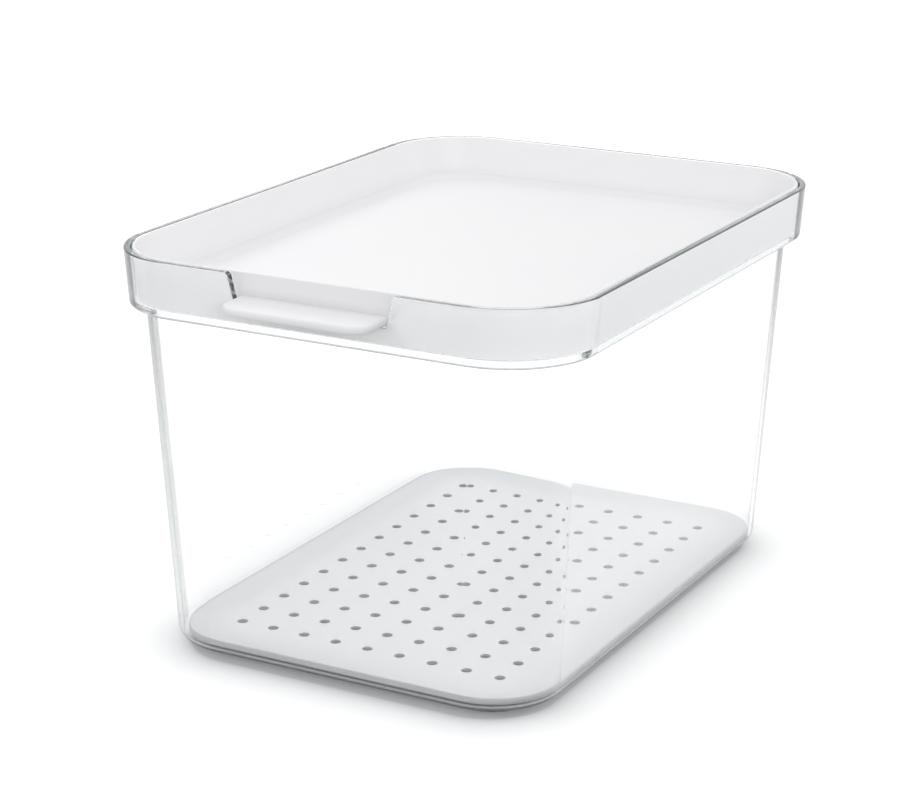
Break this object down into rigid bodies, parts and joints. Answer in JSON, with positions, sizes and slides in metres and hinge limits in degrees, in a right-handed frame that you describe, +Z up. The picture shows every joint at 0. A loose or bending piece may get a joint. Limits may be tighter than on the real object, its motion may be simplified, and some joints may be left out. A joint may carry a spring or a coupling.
{
  "type": "fridge storage bin",
  "caption": "Clear rectangular storage bin with a stepped collar, a white inset lid with a front pull tab, and a perforated drain tray on the floor.",
  "frame": {"origin": "middle of the box round the whole part, at the level that the foot ring stands on", "axes": "+Z up, -Y towards the pull tab, +X across the width"},
  "size_m": [0.2208, 0.3165, 0.1826],
  "materials": {
    "clear_plastic": "clear, polished",
    "white_lid": "white, satin",
    "pale_tray": "pale grey, satin"
  },
  "bodies": {
    "tub": {"bin_body": "clear_plastic"},
    "lid": {"lid": "white_lid"},
    "tray": {"drain_tray": "pale_tray"}
  },
  "joints": [
    {"name": "lid_lift", "type": "slide", "parent": "tub", "child": "lid", "axis": [0, 0, 1], "range_m": [0, 0.12]},
    {"name": "tray_lift", "type": "slide", "parent": "tub", "child": "tray", "axis": [0, 0, 1], "range_m": [0, 0.15]}
  ]
}
